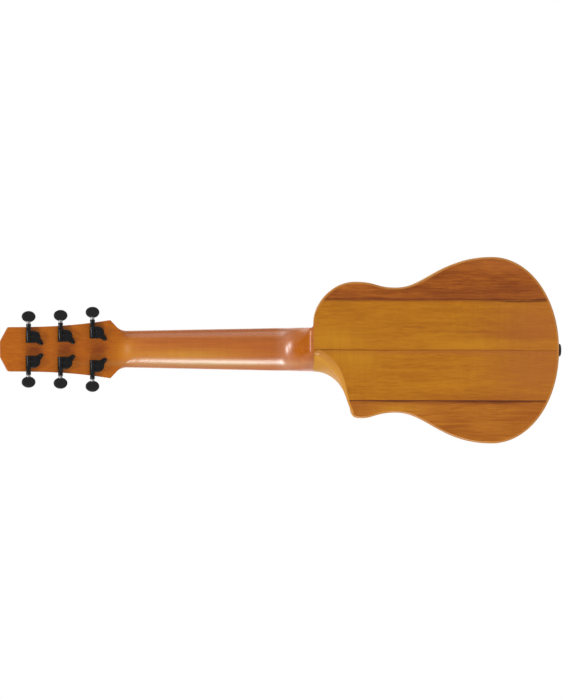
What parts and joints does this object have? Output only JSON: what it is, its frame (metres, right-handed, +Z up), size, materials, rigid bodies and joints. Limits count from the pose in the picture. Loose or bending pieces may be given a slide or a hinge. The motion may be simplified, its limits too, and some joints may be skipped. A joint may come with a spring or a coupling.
{
  "type": "guitalele",
  "caption": "Small nylon-strung guitar with a scooped cutaway and worm-geared tuners on a tilted head.",
  "frame": {"origin": "the nut's lower edge on the neck's centre line, in the soundboard's outer plane, where a hanger's yoke holds the neck under the head", "axes": "+Z up along the neck toward the head, +Y from the soundboard toward the back, +X toward the treble side with the cutaway"},
  "size_m": [0.2326, 0.0819, 0.7071],
  "materials": {
    "back_inner": "satin varnish over golden straight-grained wood",
    "back_wing": "satin varnish over redder straight-grained wood",
    "ribs": "satin varnish",
    "spruce": "satin varnish over pale spruce",
    "neck": "satin varnish over reddish wood",
    "dark_wood": "oiled dark wood",
    "bare_wood": "bare",
    "bone": "polished bone",
    "black_metal": "gloss black",
    "black_plastic": "gloss black",
    "steel": "plated",
    "nylon": "clear nylon",
    "wound": "silvered winding",
    "felt": "felt"
  },
  "bodies": {
    "instrument": {"back_board_bass": "back_inner", "back_board_treble": "back_inner", "back_brace_1": "bare_wood", "back_brace_2": "bare_wood", "back_brace_3": "bare_wood", "back_centre_strip": "bare_wood", "back_wing_bass": "back_wing", "back_wing_treble": "back_wing", "bridge": "dark_wood", "fan_brace_bass": "bare_wood", "fan_brace_middle": "bare_wood", "fan_brace_treble": "bare_wood", "fretboard": "dark_wood", "head_veneer": "dark_wood", "lining_back_bass": "bare_wood", "lining_back_treble": "bare_wood", "lining_top_bass": "bare_wood", "lining_top_treble": "bare_wood", "neck": "neck", "neck_block": "bare_wood", "neck_rod": "steel", "nut": "bone", "rosette": "dark_wood", "saddle": "bone", "side_bass": "ribs", "side_treble": "ribs", "soundboard": "spruce", "strap_button": "black_plastic", "strap_button_screw": "steel", "strap_button_washer": "felt", "string_a": "wound", "string_b": "nylon", "string_d": "wound", "string_e_high": "nylon", "string_e_low": "wound", "string_g": "nylon", "tail_block": "bare_wood", "top_brace_lower": "bare_wood", "top_brace_upper": "bare_wood", "tuner_housing_1": "black_metal", "tuner_housing_2": "black_metal", "tuner_housing_3": "black_metal", "tuner_housing_4": "black_metal", "tuner_housing_5": "black_metal", "tuner_housing_6": "black_metal"},
    "knob_1": {"tuner_knob_1": "black_plastic"},
    "post_1": {"tuner_post_1": "steel"},
    "knob_2": {"tuner_knob_2": "black_plastic"},
    "post_2": {"tuner_post_2": "steel"},
    "knob_3": {"tuner_knob_3": "black_plastic"},
    "post_3": {"tuner_post_3": "steel"},
    "knob_4": {"tuner_knob_4": "black_plastic"},
    "post_4": {"tuner_post_4": "steel"},
    "knob_5": {"tuner_knob_5": "black_plastic"},
    "post_5": {"tuner_post_5": "steel"},
    "knob_6": {"tuner_knob_6": "black_plastic"},
    "post_6": {"tuner_post_6": "steel"}
  },
  "joints": [
    {"name": "knob_1_turn", "type": "hinge", "parent": "instrument", "child": "knob_1", "pos_m": [-0.0212, 0.02777, 0.03933], "axis": [-1, 0, 0], "continuous": true},
    {"name": "post_1_turn", "type": "hinge", "parent": "instrument", "child": "post_1", "pos_m": [-0.0212, 0.00715, 0.03628], "axis": [0, 0.9744, -0.225], "continuous": true},
    {"name": "knob_2_turn", "type": "hinge", "parent": "instrument", "child": "knob_2", "pos_m": [-0.0171, 0.03688, 0.07879], "axis": [-1, 0, 0], "continuous": true},
    {"name": "post_2_turn", "type": "hinge", "parent": "instrument", "child": "post_2", "pos_m": [-0.0171, 0.01626, 0.07575], "axis": [0, 0.9744, -0.225], "continuous": true},
    {"name": "knob_3_turn", "type": "hinge", "parent": "instrument", "child": "knob_3", "pos_m": [-0.0156, 0.04594, 0.11806], "axis": [-1, 0, 0], "continuous": true},
    {"name": "post_3_turn", "type": "hinge", "parent": "instrument", "child": "post_3", "pos_m": [-0.0156, 0.02533, 0.11501], "axis": [0, 0.9744, -0.225], "continuous": true},
    {"name": "knob_4_turn", "type": "hinge", "parent": "instrument", "child": "knob_4", "pos_m": [0.0212, 0.02777, 0.03933], "axis": [1, 0, 0], "continuous": true},
    {"name": "post_4_turn", "type": "hinge", "parent": "instrument", "child": "post_4", "pos_m": [0.0212, 0.00715, 0.03628], "axis": [0, 0.9744, -0.225], "continuous": true},
    {"name": "knob_5_turn", "type": "hinge", "parent": "instrument", "child": "knob_5", "pos_m": [0.0171, 0.03688, 0.07879], "axis": [1, 0, 0], "continuous": true},
    {"name": "post_5_turn", "type": "hinge", "parent": "instrument", "child": "post_5", "pos_m": [0.0171, 0.01626, 0.07575], "axis": [0, 0.9744, -0.225], "continuous": true},
    {"name": "knob_6_turn", "type": "hinge", "parent": "instrument", "child": "knob_6", "pos_m": [0.0156, 0.04594, 0.11806], "axis": [1, 0, 0], "continuous": true},
    {"name": "post_6_turn", "type": "hinge", "parent": "instrument", "child": "post_6", "pos_m": [0.0156, 0.02533, 0.11501], "axis": [0, 0.9744, -0.225], "continuous": true}
  ],
  "couplings": [
    {"joint": "post_1_turn", "follows": "knob_1_turn", "ratio": 0.071429},
    {"joint": "post_2_turn", "follows": "knob_2_turn", "ratio": 0.071429},
    {"joint": "post_3_turn", "follows": "knob_3_turn", "ratio": 0.071429},
    {"joint": "post_4_turn", "follows": "knob_4_turn", "ratio": 0.071429},
    {"joint": "post_5_turn", "follows": "knob_5_turn", "ratio": 0.071429},
    {"joint": "post_6_turn", "follows": "knob_6_turn", "ratio": 0.071429}
  ]
}
